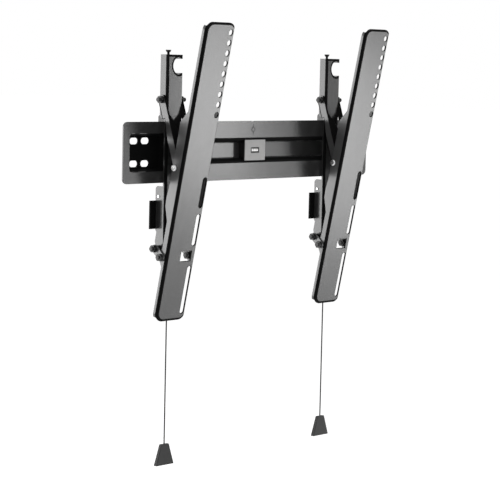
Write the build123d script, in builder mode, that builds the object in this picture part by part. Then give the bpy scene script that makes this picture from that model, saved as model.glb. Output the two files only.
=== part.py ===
from build123d import *
from math import atan2, cos, degrees, hypot, radians, sin, tan
import os

os.makedirs("parts", exist_ok=True)

# Tilting television wall bracket, all sizes in millimetres.
# X runs along the wall, Y goes into the wall and the wall face is Y = 0, Z is up.
# The origin is the centre of the wall plate's fixing pattern, on the wall.
# Each side assembly is drawn with X = 0 at the left face of its hang post.

# Wall plate
plate_length = 558.0
plate_height = 88.0
plate_depth = 14.0
plate_sheet = 2.0
plate_corner = 8.0
channel_height = 36.0
channel_wall_angle = 24.0
pocket_length = 80.0
pocket_height = 59.0
pocket_margin = 11.0
pocket_corner = 8.0
pocket_wall_angle = 20.0
wall_slot_length = 17.5
wall_slot_width = 9.4
wall_slot_pitch = 23.0
wall_slot_rise = 32.5
wall_slot_inset = 33.5
centre_notch_width = 5.0
centre_notch_depth = 2.5
rim_start = 1.5

# Spirit level in the plate's channel
level_width = 47.0
level_clearance = 0.3
level_offset = 5.0
vial_length = 15.0
vial_radius = 3.2
vial_clearance = 0.1

# Places of the two side assemblies along the plate
left_post_x = -197.0
post_spacing = 363.0

# Hang post
post_width = 32.0
post_sheet = 2.2
post_front = 18.8
post_top = 140.0
post_web_bottom = -125.0
post_upper_rear = 5.8
post_lower_rear = 0.4
post_running_gap = 0.3
post_plate_gap = 5.0
post_ear_radius = 6.8
step_margin = 1.0
notch_radius = 12.3
notch_x = 25.0
notch_z = 124.0
foot_tab_length = 41.0
foot_tab_width = 12.5
foot_tab_top = -70.0
foot_notch_depth = 2.6

# Levelling screw
screw_x = 11.0
screw_y = -10.2
screw_radius = 2.0
screw_clearance = 0.25
screw_head_radius = 3.9
screw_head_height = 3.2
screw_head_rise = 3.5
screw_seat_z = 106.0
clip_radius = 3.6
clip_height = 1.0

# Hook carriage inside the post
carriage_sheet = 2.0
carriage_stem_width = 18.0
hook_top = 54.0
hook_rear = 0.6
hook_tongue = 6.0
hook_tongue_bottom = 33.0
hook_gap = 0.2

# Tilt linkage, seen from the side as (Y, Z)
upper_pivot = (-11.6, 75.4)
middle_pivot = (-42.9, -21.0)
lower_post_pivot = (-9.6, -138.8)
lower_bracket_pivot = (-22.0, -150.4)
bolt_radius = 3.0
pivot_clearance = 0.08
open_pivot_clearance = 1.3
bolt_head_radius = 4.6
bolt_head_height = 2.4
nut_flats = 10.0
nut_height = 5.0
thread_clearance = 0.05
seat_clearance = 0.1
washer_radius = 6.3

# Tilt yoke
yoke_sheet = 2.3
yoke_half_width = 7.0
yoke_post_gap = 0.4
yoke_notch_top = 24.0
yoke_notch_bottom = 50.0
yoke_web_bottom = 90.0
yoke_turn_in = 9.0
yoke_rim_clearance = 0.6
height_travel = 2.8

# Display bracket
tilt_angle = 11.76
bracket_front = (-101.5, 186.3)
bracket_length = 441.0
bracket_width = 60.8
bracket_sheet = 2.2
bracket_left_gap = 5.2
bracket_corner = 13.0
bracket_bend = 3.4
flank_depth_top = 7.4
flank_depth_ear = 18.4
flank_depth_peak = 20.0
flank_depth_low = 11.2
flank_depth_end = 7.4
right_edge_depth = 3.4
ear_top = 130.0
ear_shoulder = 149.0
ear_bottom = 272.0
ear_foot = 293.0
hole_radius = 4.4
hole_count = 9
hole_pitch = 15.0
hole_first = 14.0
hole_column = 53.0
slot_width = 8.6
slot_spans = ((226.5, 272.0), (281.5, 329.0), (359.5, 432.0))
window_width = 22.5
window_height = 15.5
window_centre = (41.0, 344.0)

# Lower links
link_sheet = 2.3
link_half_width = 6.0
link_gap = 0.3

# Latch, its pin and its spring
latch_sheet = 2.0
latch_width = 18.0
latch_top = -50.0
latch_bottom = -100.0
latch_arm = 3.0
latch_rear = 3.4
latch_finger_top = -36.0
latch_finger_width = 6.0
pin_radius = 1.5
pin_y = -6.8
pin_z = -64.0
spring_wire = 0.5
spring_radius = 2.6
spring_turns = 7.0

# Pull cord
cord_radius = 1.0
cord_x = 23.0
cord_y = -5.0
cord_bottom = -428.0
pull_height = 31.0
pull_top_width = 16.0
pull_bottom_width = 37.0
pull_thickness = 7.0

# Values that follow from the sizes above
rim_y = -plate_depth
post_front_y = -post_front
post_web_back = post_front_y + post_sheet
carriage_front = post_web_back + post_running_gap
carriage_back = carriage_front + carriage_sheet
inner_left = post_sheet + post_running_gap
inner_right = post_width - post_sheet - post_running_gap
yoke_left_out = -yoke_post_gap - yoke_sheet
yoke_right_in = post_width + yoke_post_gap
yoke_right_out = yoke_right_in + yoke_sheet
flank_left_out = -bracket_left_gap - bracket_sheet
flank_left_in = -bracket_left_gap
flank_right_out = flank_left_out + bracket_width
flank_right_in = flank_right_out - bracket_sheet
link_left_in = flank_left_out - link_gap
link_left_out = link_left_in - link_sheet
link_right_out = flank_right_in - link_gap
link_right_in = link_right_out - link_sheet
post_middle_x = post_width / 2

tilt = radians(tilt_angle)
link_run = (middle_pivot[0] - upper_pivot[0], middle_pivot[1] - upper_pivot[1])
yoke_length = hypot(link_run[0], link_run[1])
yoke_down = (link_run[0] / yoke_length, link_run[1] / yoke_length)
yoke_forward = (yoke_down[1], -yoke_down[0])


def side_plane(x):
    """Plane across the part at x, with Y to the right and Z up in its sketches."""
    return Plane(origin=(x, 0, 0), x_dir=(0, 1, 0), z_dir=(1, 0, 0))


def yoke_plane(x):
    """Side plane at the upper pivot, turned so that its own -Y runs down the strap."""
    return Plane(origin=(x, *upper_pivot), x_dir=(0, -yoke_forward[0], -yoke_forward[1]), z_dir=(1, 0, 0))


def yoke_place(point, turn):
    """Where a point given as (Y, Z) lies on the strap, as (rearward, down), once the yoke has turned by that angle."""
    dy = point[0] - upper_pivot[0]
    dz = point[1] - upper_pivot[1]
    along_y = dy * cos(radians(turn)) + dz * sin(radians(turn))
    along_z = dz * cos(radians(turn)) - dy * sin(radians(turn))
    rearward = -along_y * yoke_forward[0] - along_z * yoke_forward[1]
    return (rearward, along_y * yoke_down[0] + along_z * yoke_down[1])


def bracket_plane(x):
    """Side plane at the bracket's front top edge: depth to the right, -Y down the face."""
    return Plane(origin=(x, *bracket_front), x_dir=(0, cos(tilt), sin(tilt)), z_dir=(1, 0, 0))


def bracket_place(point):
    """Depth behind the bracket's face and distance down it, of a point given as (Y, Z)."""
    dy = point[0] - bracket_front[0]
    dz = point[1] - bracket_front[1]
    return (dy * cos(tilt) + dz * sin(tilt), dy * sin(tilt) - dz * cos(tilt))


# Wall plate: a pressed sheet whose rims stand off the wall
with BuildPart() as wall_plate:
    channel_length = plate_length - 2 * (pocket_margin + pocket_length) + 2 * pocket_corner
    pocket_x = plate_length / 2 - pocket_margin - pocket_length / 2
    with BuildSketch(Plane.XZ.offset(plate_depth)):
        RectangleRounded(plate_length, plate_height, plate_corner)
    extrude(amount=-plate_sheet)
    with BuildSketch(Plane.XZ.offset(plate_depth)):
        Rectangle(channel_length, channel_height)
    extrude(amount=-plate_depth, taper=channel_wall_angle)
    with BuildSketch(Plane.XZ.offset(plate_depth)):
        with Locations((-pocket_x, 0), (pocket_x, 0)):
            RectangleRounded(pocket_length, pocket_height, pocket_corner)
    extrude(amount=-plate_depth, taper=pocket_wall_angle)
    # The hollow of the channel and of both pockets
    with BuildSketch(Plane.XZ.offset(plate_depth)):
        Rectangle(channel_length - 2 * plate_sheet, channel_height - 2 * plate_sheet)
    extrude(amount=-(plate_depth - plate_sheet), taper=channel_wall_angle, mode=Mode.SUBTRACT)
    with BuildSketch(Plane.XZ.offset(plate_depth)):
        with Locations((-pocket_x, 0), (pocket_x, 0)):
            RectangleRounded(pocket_length - 2 * plate_sheet, pocket_height - 2 * plate_sheet,
                             pocket_corner - plate_sheet)
    extrude(amount=-(plate_depth - plate_sheet), taper=pocket_wall_angle, mode=Mode.SUBTRACT)
    # Obround wall slots, four in each pocket
    slot_x = plate_length / 2 - wall_slot_inset
    with BuildSketch(Plane.XZ):
        for side in (-1, 1):
            with Locations((side * (slot_x - wall_slot_pitch / 2), 0)):
                with GridLocations(wall_slot_pitch, wall_slot_rise, 2, 2):
                    SlotOverall(wall_slot_length, wall_slot_width)
    extrude(amount=plate_depth, mode=Mode.SUBTRACT)
    # Centre mark: a small V nick in the top rim
    with BuildSketch(Plane.XZ.offset(plate_depth)):
        with BuildLine():
            Polyline((-centre_notch_width / 2, plate_height / 2), (0, plate_height / 2 - centre_notch_depth),
                     (centre_notch_width / 2, plate_height / 2), close=True)
        make_face()
    extrude(amount=-plate_sheet, mode=Mode.SUBTRACT)
    # The two flat rims and the pressed middle, face to face along the start of each rim
    split(bisect_by=Plane.XY.offset(pocket_height / 2 + rim_start), keep=Keep.BOTH)
    split(bisect_by=Plane.XY.offset(-pocket_height / 2 - rim_start), keep=Keep.BOTH)
wall_plate.part.label = "wall_plate"
export_step(wall_plate.part, "parts/wall_plate.step")

# Level block, seated in the channel and flush with the rims
floor_half = channel_height / 2 - plate_sheet - (plate_depth - plate_sheet) * tan(radians(channel_wall_angle))
mouth_half = channel_height / 2 - plate_sheet
with BuildPart() as level_block:
    with BuildSketch(side_plane(level_offset - level_width / 2)):
        with BuildLine():
            Polyline((-plate_sheet - level_clearance, floor_half - level_clearance),
                     (rim_y, mouth_half - level_clearance),
                     (rim_y, -mouth_half + level_clearance),
                     (-plate_sheet - level_clearance, -floor_half + level_clearance), close=True)
        make_face()
    extrude(amount=level_width)
    # Bed of the vial, open to the front
    with BuildSketch(side_plane(level_offset - vial_length / 2 - vial_clearance)):
        with Locations((rim_y + vial_radius, 0)):
            Circle(vial_radius + vial_clearance)
        with Locations((rim_y, 0)):
            Rectangle(2 * vial_radius, 2 * (vial_radius + vial_clearance))
    extrude(amount=vial_length + 2 * vial_clearance, mode=Mode.SUBTRACT)
level_block.part.label = "level_block"
export_step(level_block.part, "parts/level_block.step")

with BuildPart() as level_vial:
    with BuildSketch(side_plane(level_offset - vial_length / 2)):
        with Locations((rim_y + vial_radius, 0)):
            Circle(vial_radius)
    extrude(amount=vial_length)
    fillet(level_vial.edges().filter_by(GeomType.CIRCLE), vial_radius / 3)
level_vial.part.label = "level_vial"
export_step(level_vial.part, "parts/level_vial.step")

# Hook carriage: a stem inside the post, two hooks over the top rim, and a tab for the screw
slot_front = carriage_back
slot_rear = rim_y + plate_sheet + post_running_gap
rim_top = plate_height / 2
with BuildPart() as hook_carriage:
    with BuildSketch(Plane.XZ.offset(-carriage_front)):
        with Locations((post_middle_x, (screw_seat_z + hook_top) / 2)):
            Rectangle(carriage_stem_width, screw_seat_z - hook_top)
        with Locations((post_middle_x, (hook_top + hook_tongue_bottom) / 2)):
            Rectangle(inner_right - inner_left, hook_top - hook_tongue_bottom)
    extrude(amount=-carriage_sheet)
    # Screw tab at the top of the stem
    with BuildSketch(Plane.XY.offset(screw_seat_z - carriage_sheet)):
        with Locations((post_middle_x, carriage_front / 2 - post_upper_rear / 2)):
            Rectangle(carriage_stem_width, -carriage_front - post_upper_rear)
    extrude(amount=carriage_sheet)
    # Both hooks
    for hook_x in (inner_left, inner_right - carriage_sheet):
        with BuildSketch(side_plane(hook_x)):
            with BuildLine():
                Polyline((carriage_front, hook_top), (-hook_rear - hook_tongue / 2, hook_top),
                         (-hook_rear, hook_top - hook_tongue / 2),
                         (-hook_rear, hook_tongue_bottom + hook_tongue / 2),
                         (-hook_rear - hook_tongue / 2, hook_tongue_bottom),
                         (slot_rear, hook_tongue_bottom + hook_tongue / 2), (slot_rear, rim_top + hook_gap),
                         (slot_front, rim_top + hook_gap), (slot_front, hook_tongue_bottom),
                         (carriage_front, hook_tongue_bottom), close=True)
            make_face()
        extrude(amount=carriage_sheet)
    with Locations((screw_x, screw_y, screw_seat_z)):
        Hole(screw_radius + screw_clearance, depth=carriage_sheet)
hook_carriage.part.label = "hook_carriage"

# Hang post: web in front, both flanges to the rear, folded top and foot tab
flange_step = plate_height / 2 + post_plate_gap
shallow_rear = carriage_back
with BuildPart() as hang_post:
    with BuildSketch(side_plane(0)):
        with BuildLine():
            Polyline((post_front_y, post_top), (-post_upper_rear, post_top), (-post_upper_rear, flange_step + 3),
                     (-post_upper_rear - 3, flange_step), (shallow_rear, flange_step),
                     (shallow_rear, -flange_step), (-post_lower_rear - 3, -flange_step),
                     (-post_lower_rear, -flange_step - 3),
                     (-post_lower_rear, foot_tab_top - foot_tab_length),
                     (-post_lower_rear - foot_notch_depth, foot_tab_top - foot_tab_length - 5),
                     (-post_lower_rear, lower_post_pivot[1] + 1.4 * post_ear_radius),
                     (lower_post_pivot[0] + 0.9 * post_ear_radius, lower_post_pivot[1] - 0.4 * post_ear_radius),
                     (lower_post_pivot[0] - 0.9 * post_ear_radius, lower_post_pivot[1] - 0.4 * post_ear_radius),
                     (post_front_y, post_web_bottom), close=True)
        make_face()
        with Locations(lower_post_pivot):
            Circle(post_ear_radius)
    extrude(amount=post_width)
    # Inside of the channel, closed at the top by the folded flange
    with BuildSketch(Plane.XY.offset(post_top - post_sheet)):
        with Locations((post_middle_x, post_web_back / 2 + 5)):
            Rectangle(post_width - 2 * post_sheet, -post_web_back + 10)
    extrude(amount=-(post_top - post_sheet - lower_post_pivot[1] + 2 * post_ear_radius), mode=Mode.SUBTRACT)
    # Round notch in the web and the right flange
    with BuildSketch(Plane.XZ.offset(post_front)):
        with Locations((notch_x, notch_z)):
            Circle(notch_radius)
    extrude(amount=-post_front, mode=Mode.SUBTRACT)
    # Foot tab bent out of the left flange, flat on the wall
    with BuildSketch(Plane.XZ):
        with Locations((-foot_tab_width / 2 + post_sheet / 2, foot_tab_top - foot_tab_length / 2)):
            Rectangle(foot_tab_width + post_sheet, foot_tab_length)
    extrude(amount=post_sheet)
    # Holes for the screw, the upper pivots, the lower pivots and the latch pin
    with Locations((screw_x, screw_y, post_top)):
        Hole(screw_radius + screw_clearance, depth=post_sheet)
    with BuildSketch(side_plane(0)):
        with Locations(upper_pivot, lower_post_pivot):
            Circle(bolt_radius + thread_clearance)
        with Locations((pin_y, pin_z)):
            Circle(pin_radius + thread_clearance)
    extrude(amount=post_width, mode=Mode.SUBTRACT)
    # Upper, middle and lower length, face to face just inside the two steps
    split(bisect_by=Plane.XY.offset(flange_step - step_margin), keep=Keep.BOTH)
    split(bisect_by=Plane.XY.offset(-flange_step + step_margin), keep=Keep.BOTH)
hang_post.part.label = "hang_post"

# Levelling screw, its head above the top flange and its foot held in the carriage tab
screw_head_z = post_top + screw_head_rise
screw_foot_z = screw_seat_z - carriage_sheet - clip_height - 3 * seat_clearance - 1.0
with BuildPart() as level_screw:
    with BuildSketch(Plane.XY.offset(screw_foot_z)):
        with Locations((screw_x, screw_y)):
            Circle(screw_radius)
    extrude(amount=screw_head_z - screw_foot_z)
    with BuildSketch(Plane.XY.offset(screw_head_z)):
        with Locations((screw_x, screw_y)):
            Circle(screw_head_radius * 0.72)
    with BuildSketch(Plane.XY.offset(screw_head_z + screw_head_height * 0.6)):
        with Locations((screw_x, screw_y)):
            Circle(screw_head_radius)
    loft()
    with BuildSketch(Plane.XY.offset(screw_head_z + screw_head_height * 0.6)):
        with Locations((screw_x, screw_y)):
            Circle(screw_head_radius)
    extrude(amount=screw_head_height * 0.4)
    # Collar that stands on the carriage tab
    with BuildSketch(Plane.XY.offset(screw_seat_z + seat_clearance)):
        with Locations((screw_x, screw_y)):
            Circle(clip_radius)
    extrude(amount=clip_height)
    # Screwdriver slot across the head
    with BuildSketch(Plane.XY.offset(screw_head_z + screw_head_height)):
        with Locations((screw_x, screw_y)):
            Rectangle(2 * screw_head_radius + 1, 1.1)
    extrude(amount=-1.3, mode=Mode.SUBTRACT)
level_screw.part.label = "level_screw"

# Retaining clip under the carriage tab
with BuildPart() as screw_clip:
    with BuildSketch(Plane.XY.offset(screw_seat_z - carriage_sheet - seat_clearance)):
        with Locations((screw_x, screw_y)):
            Circle(clip_radius)
            Circle(screw_radius + thread_clearance, mode=Mode.SUBTRACT)
            with Locations((0, clip_radius)):
                Rectangle(1.8, 2 * clip_radius - screw_radius, mode=Mode.SUBTRACT)
    extrude(amount=-clip_height)
screw_clip.part.label = "screw_clip"

# Tilt yoke: two straps and the folded web in front of them
rim_corner = yoke_place((rim_y, plate_height / 2 + height_travel), yoke_turn_in)
rim_below = yoke_place((rim_y, middle_pivot[1]), yoke_turn_in)
relief_outer = yoke_half_width + 10
with BuildPart() as tilt_yoke:
    for strap_x in (yoke_left_out, yoke_right_in):
        with BuildSketch(yoke_plane(strap_x)):
            with Locations((0, -yoke_length / 2)):
                SlotCenterToCenter(yoke_length, 2 * yoke_half_width, rotation=90)
            # Relief in the rear edge, so that the strap clears the plate's rim when it swings in
            with BuildLine():
                Polyline((relief_outer, -rim_corner[1] + 4 * yoke_rim_clearance),
                         (rim_corner[0] - yoke_rim_clearance, -rim_corner[1] + 2.5 * yoke_rim_clearance),
                         (rim_corner[0] - yoke_rim_clearance, -rim_corner[1]),
                         (rim_below[0] - yoke_rim_clearance, -rim_below[1]),
                         (relief_outer, -rim_below[1]), close=True)
            make_face(mode=Mode.SUBTRACT)
        extrude(amount=yoke_sheet)
    # Web on the straps' front edge
    with BuildSketch(yoke_plane(yoke_left_out)):
        with Locations((-yoke_half_width + yoke_sheet / 2, -(yoke_notch_top + yoke_web_bottom) / 2)):
            Rectangle(yoke_sheet, yoke_web_bottom - yoke_notch_top)
    extrude(amount=yoke_right_out - yoke_left_out)
    # V cut in the web's top edge, between the straps
    web_plane = Plane(origin=(0, *upper_pivot), x_dir=(1, 0, 0), z_dir=(0, *yoke_forward))
    with BuildSketch(web_plane):
        with BuildLine():
            Polyline((yoke_left_out + yoke_sheet, -yoke_notch_top + 1), (post_middle_x, -yoke_notch_bottom),
                     (yoke_right_in, -yoke_notch_top + 1), close=True)
        make_face()
    extrude(amount=yoke_half_width + 1, mode=Mode.SUBTRACT)
    with BuildSketch(side_plane(yoke_left_out)):
        with Locations(upper_pivot, middle_pivot):
            Circle(bolt_radius + pivot_clearance)
    extrude(amount=yoke_right_out - yoke_left_out, mode=Mode.SUBTRACT)
tilt_yoke.part.label = "tilt_yoke"

# Upper pivot bolts: heads inside the post, shanks through the straps
upper_left_end = yoke_left_out - seat_clearance - nut_height - 3.5
upper_right_end = yoke_right_out + seat_clearance + nut_height + 6.0
with BuildPart() as upper_pivot_bolts:
    with BuildSketch(side_plane(post_sheet)):
        with Locations(upper_pivot):
            Circle(bolt_head_radius)
    extrude(amount=bolt_head_height)
    with BuildSketch(side_plane(post_sheet)):
        with Locations(upper_pivot):
            Circle(bolt_radius)
    extrude(amount=upper_left_end - post_sheet)
    with BuildSketch(side_plane(post_width - post_sheet)):
        with Locations(upper_pivot):
            Circle(bolt_head_radius)
    extrude(amount=-bolt_head_height)
    with BuildSketch(side_plane(post_width - post_sheet)):
        with Locations(upper_pivot):
            Circle(bolt_radius)
    extrude(amount=upper_right_end - post_width + post_sheet)
upper_pivot_bolts.part.label = "upper_pivot_bolts"

with BuildPart() as upper_pivot_nuts:
    for nut_x in (yoke_left_out - seat_clearance - nut_height, yoke_right_out + seat_clearance):
        with BuildSketch(side_plane(nut_x)):
            with Locations(upper_pivot):
                RegularPolygon(nut_flats / 2, 6, major_radius=False)
                Circle(bolt_radius + thread_clearance, mode=Mode.SUBTRACT)
        extrude(amount=nut_height)
upper_pivot_nuts.part.label = "upper_pivot_nuts"

# Display bracket: the long folded channel that the screen is screwed to
middle_depth, middle_run = bracket_place(middle_pivot)
lower_depth, lower_run = bracket_place(lower_bracket_pivot)
face_plane = Plane(origin=(flank_left_out, *bracket_front), x_dir=(1, 0, 0), z_dir=(0, -cos(tilt), -sin(tilt)))
section_plane = Plane(origin=(flank_left_out, *bracket_front), x_dir=(1, 0, 0), z_dir=(0, sin(tilt), -cos(tilt)))
with BuildPart() as display_bracket:
    # Folded section, open to the rear
    with BuildSketch(section_plane):
        with BuildLine():
            FilletPolyline((0, -flank_depth_peak - 1), (0, 0), (bracket_width, 0),
                           (bracket_width, -flank_depth_peak - 1), radius=bracket_bend)
            FilletPolyline((bracket_sheet, -flank_depth_peak - 1), (bracket_sheet, -bracket_sheet),
                           (bracket_width - bracket_sheet, -bracket_sheet),
                           (bracket_width - bracket_sheet, -flank_depth_peak - 1),
                           radius=bracket_bend - bracket_sheet)
            Line((0, -flank_depth_peak - 1), (bracket_sheet, -flank_depth_peak - 1))
            Line((bracket_width, -flank_depth_peak - 1), (bracket_width - bracket_sheet, -flank_depth_peak - 1))
        make_face()
    extrude(amount=bracket_length)
    # Side outline of both flanks, with the ears for the two pivots
    with BuildSketch(bracket_plane(flank_left_out)):
        with BuildLine():
            Polyline((0, 0), (flank_depth_top, 0), (flank_depth_top, -ear_top),
                     (flank_depth_ear - 1.5, -ear_shoulder + 3), (flank_depth_ear, -ear_shoulder),
                     (flank_depth_ear, -(ear_shoulder + ear_bottom) / 2 - 30),
                     (flank_depth_peak, -ear_bottom + 12), (flank_depth_peak - 0.6, -ear_bottom),
                     (flank_depth_low, -ear_foot), (flank_depth_low, -lower_run + 16),
                     (lower_depth + 3.5, -lower_run + 6), (lower_depth + 3.5, -lower_run - 6),
                     (flank_depth_end, -lower_run - 14), (flank_depth_end, -bracket_length),
                     (0, -bracket_length), close=True)
        make_face()
        with Locations((lower_depth, -lower_run)):
            Circle(link_half_width)
    extrude(amount=bracket_width, mode=Mode.INTERSECT)
    # The right flank is cut back to a low edge beside the holes, except at its two ears
    cut_depth = flank_depth_peak + 2
    ear_slope = flank_depth_low - right_edge_depth
    with BuildSketch(bracket_plane(flank_right_out)):
        with BuildLine():
            Polyline((right_edge_depth, 1), (right_edge_depth, -ear_top + ear_slope / 2),
                     (flank_depth_top, -ear_top), (cut_depth, -ear_top), (cut_depth, 1), close=True)
        make_face()
        with BuildLine():
            Polyline((cut_depth, -ear_bottom - 2), (right_edge_depth, -ear_bottom - ear_slope),
                     (right_edge_depth, -lower_run + link_half_width + ear_slope),
                     (cut_depth, -lower_run + link_half_width + 2), close=True)
        make_face()
        with BuildLine():
            Polyline((cut_depth, -lower_run - link_half_width - 2),
                     (right_edge_depth, -lower_run - link_half_width - ear_slope),
                     (right_edge_depth, -bracket_length - 1), (cut_depth, -bracket_length - 1), close=True)
        make_face()
    extrude(amount=-bracket_width / 2, mode=Mode.SUBTRACT)
    # Rounded ends of the face
    with BuildSketch(face_plane):
        with Locations((bracket_width / 2, -bracket_length / 2)):
            RectangleRounded(bracket_width, bracket_length, bracket_corner)
    extrude(amount=-flank_depth_peak - 2, mode=Mode.INTERSECT)
    # Round holes, slots and the square window
    with BuildSketch(face_plane):
        for index in range(hole_count):
            with Locations((hole_column, -hole_first - index * hole_pitch)):
                Circle(hole_radius)
        for start, end in slot_spans:
            with Locations((hole_column, -(start + end) / 2)):
                SlotOverall(end - start, slot_width, rotation=90)
        with Locations((window_centre[0], -window_centre[1])):
            Rectangle(window_width, window_height)
    extrude(amount=-bracket_sheet - 1, mode=Mode.SUBTRACT)
    # Pivot holes through both flanks
    with BuildSketch(side_plane(flank_left_out)):
        with Locations(middle_pivot, lower_bracket_pivot):
            Circle(bolt_radius + thread_clearance)
    extrude(amount=bracket_width, mode=Mode.SUBTRACT)
    # Upper, middle and lower length, face to face below the upper ear and above the lower ear
    foot_plane = Plane(origin=section_plane.origin + section_plane.z_dir * (ear_foot + step_margin),
                       x_dir=(1, 0, 0), z_dir=section_plane.z_dir)
    split(bisect_by=foot_plane, keep=Keep.BOTH)
    head_run = lower_run - link_half_width - step_margin
    head_plane = Plane(origin=section_plane.origin + section_plane.z_dir * head_run,
                       x_dir=(1, 0, 0), z_dir=section_plane.z_dir)
    split(bisect_by=head_plane, keep=Keep.BOTH)
display_bracket.part.label = "display_bracket"

# Middle axle: riveted over outside both flanks, with a spacer tube on its right half
with BuildPart() as middle_axle:
    with BuildSketch(side_plane(flank_left_out - bolt_head_height)):
        with Locations(middle_pivot):
            Circle(bolt_head_radius)
    extrude(amount=bolt_head_height)
    with BuildSketch(side_plane(flank_left_out)):
        with Locations(middle_pivot):
            Circle(bolt_radius)
    extrude(amount=bracket_width)
    with BuildSketch(side_plane(flank_right_out)):
        with Locations(middle_pivot):
            Circle(bolt_head_radius)
    extrude(amount=bolt_head_height)
    fillet(middle_axle.faces().sort_by(Axis.X)[0].edges(), bolt_head_height * 0.6)
    fillet(middle_axle.faces().sort_by(Axis.X)[-1].edges(), bolt_head_height * 0.6)
middle_axle.part.label = "middle_axle"

with BuildPart() as middle_spacers:
    with BuildSketch(side_plane(yoke_right_out + seat_clearance)):
        with Locations(middle_pivot):
            Circle(bolt_radius + 1.6)
            Circle(bolt_radius + thread_clearance, mode=Mode.SUBTRACT)
    extrude(amount=flank_right_in - yoke_right_out - 2 * seat_clearance)
    with BuildSketch(side_plane(flank_left_in + seat_clearance)):
        with Locations(middle_pivot):
            Circle(washer_radius)
            Circle(bolt_radius + thread_clearance, mode=Mode.SUBTRACT)
    extrude(amount=yoke_left_out - flank_left_in - 2 * seat_clearance)
middle_spacers.part.label = "middle_spacers"

# Lower links: one outside the left flank, one inside the right flank
link_middle = ((lower_post_pivot[0] + lower_bracket_pivot[0]) / 2, (lower_post_pivot[1] + lower_bracket_pivot[1]) / 2)
link_reach = (lower_bracket_pivot[0] - lower_post_pivot[0], lower_bracket_pivot[1] - lower_post_pivot[1])
link_length = hypot(link_reach[0], link_reach[1])
link_turn = degrees(atan2(link_reach[1], link_reach[0]))
with BuildPart() as outer_link:
    with BuildSketch(side_plane(link_left_out)):
        with Locations(link_middle):
            SlotCenterToCenter(link_length, 2 * link_half_width, rotation=link_turn)
        with Locations(lower_post_pivot):
            Circle(bolt_radius + pivot_clearance, mode=Mode.SUBTRACT)
        with Locations(lower_bracket_pivot):
            Circle(bolt_radius + open_pivot_clearance, mode=Mode.SUBTRACT)
    extrude(amount=link_sheet)
outer_link.part.label = "outer_link"

with BuildPart() as inner_link:
    with BuildSketch(side_plane(link_right_in)):
        with Locations(link_middle):
            SlotCenterToCenter(link_length, 2 * link_half_width, rotation=link_turn)
        with Locations(lower_post_pivot):
            Circle(bolt_radius + pivot_clearance, mode=Mode.SUBTRACT)
        with Locations(lower_bracket_pivot):
            Circle(bolt_radius + open_pivot_clearance, mode=Mode.SUBTRACT)
    extrude(amount=link_sheet)
inner_link.part.label = "inner_link"

# Lower post bolts: heads inside the post, spacers out to the links
lower_left_end = link_left_out - seat_clearance - nut_height - 3.0
lower_right_end = link_right_out + seat_clearance + nut_height + 2.0
with BuildPart() as lower_post_bolts:
    with BuildSketch(side_plane(post_sheet)):
        with Locations(lower_post_pivot):
            Circle(bolt_head_radius)
    extrude(amount=bolt_head_height)
    with BuildSketch(side_plane(post_sheet)):
        with Locations(lower_post_pivot):
            Circle(bolt_radius)
    extrude(amount=lower_left_end - post_sheet)
    with BuildSketch(side_plane(post_width - post_sheet)):
        with Locations(lower_post_pivot):
            Circle(bolt_head_radius)
    extrude(amount=-bolt_head_height)
    with BuildSketch(side_plane(post_width - post_sheet)):
        with Locations(lower_post_pivot):
            Circle(bolt_radius)
    extrude(amount=lower_right_end - post_width + post_sheet)
lower_post_bolts.part.label = "lower_post_bolts"

with BuildPart() as lower_post_spacers:
    with BuildSketch(side_plane(0)):
        with Locations(lower_post_pivot):
            Circle(bolt_radius + 1.5)
            Circle(bolt_radius + thread_clearance, mode=Mode.SUBTRACT)
    extrude(amount=link_left_in + seat_clearance)
    with BuildSketch(side_plane(post_width)):
        with Locations(lower_post_pivot):
            Circle(bolt_radius + 1.5)
            Circle(bolt_radius + thread_clearance, mode=Mode.SUBTRACT)
    extrude(amount=link_right_in - seat_clearance - post_width)
lower_post_spacers.part.label = "lower_post_spacers"

with BuildPart() as lower_post_nuts:
    for nut_x in (link_left_out - seat_clearance - nut_height, link_right_out + seat_clearance):
        with BuildSketch(side_plane(nut_x)):
            with Locations(lower_post_pivot):
                RegularPolygon(nut_flats / 2, 6, major_radius=False)
                Circle(bolt_radius + thread_clearance, mode=Mode.SUBTRACT)
        extrude(amount=nut_height)
lower_post_nuts.part.label = "lower_post_nuts"

# Lower bracket bolts, one through each flank and its link
bracket_left_end = link_left_out - seat_clearance - nut_height - 2.0
bracket_right_end = link_right_in - seat_clearance - nut_height - 2.0
with BuildPart() as lower_bracket_bolts:
    with BuildSketch(side_plane(flank_left_in)):
        with Locations(lower_bracket_pivot):
            Circle(bolt_head_radius)
    extrude(amount=bolt_head_height)
    with BuildSketch(side_plane(flank_left_in)):
        with Locations(lower_bracket_pivot):
            Circle(bolt_radius)
    extrude(amount=bracket_left_end - flank_left_in)
    with BuildSketch(side_plane(flank_right_out)):
        with Locations(lower_bracket_pivot):
            Circle(bolt_head_radius)
    extrude(amount=bolt_head_height)
    with BuildSketch(side_plane(flank_right_out)):
        with Locations(lower_bracket_pivot):
            Circle(bolt_radius)
    extrude(amount=bracket_right_end - flank_right_out)
lower_bracket_bolts.part.label = "lower_bracket_bolts"

with BuildPart() as lower_bracket_nuts:
    for nut_x in (link_left_out - seat_clearance - nut_height, link_right_in - seat_clearance - nut_height):
        with BuildSketch(side_plane(nut_x)):
            with Locations(lower_bracket_pivot):
                RegularPolygon(nut_flats / 2, 6, major_radius=False)
                Circle(bolt_radius + thread_clearance, mode=Mode.SUBTRACT)
        extrude(amount=nut_height)
lower_bracket_nuts.part.label = "lower_bracket_nuts"

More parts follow.
